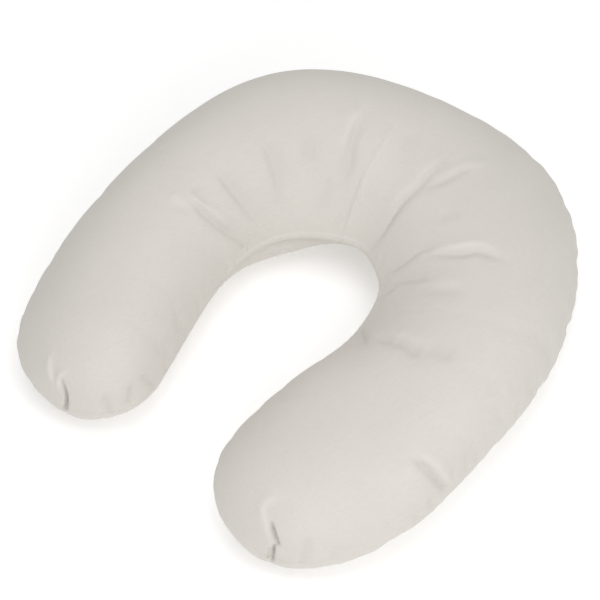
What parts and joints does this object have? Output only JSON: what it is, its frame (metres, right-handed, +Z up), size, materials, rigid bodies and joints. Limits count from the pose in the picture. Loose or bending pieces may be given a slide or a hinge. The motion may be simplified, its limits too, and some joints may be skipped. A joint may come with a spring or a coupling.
{
  "type": "travel pillow",
  "caption": "U-shaped filled cotton travel pillow that goes round the neck, lying on its back.",
  "frame": {"origin": "middle of the pillow's plan box, on the surface that it lies on", "axes": "+Z up through the pillow's thickness, -Y out of the opening between the arms, +X from the left arm to the right arm"},
  "size_m": [0.3906, 0.4292, 0.1073],
  "materials": {
    "cotton_cover": "plain unbleached cotton weave, matt"
  },
  "bodies": {
    "root": {"pillow": "cotton_cover"}
  },
  "joints": []
}
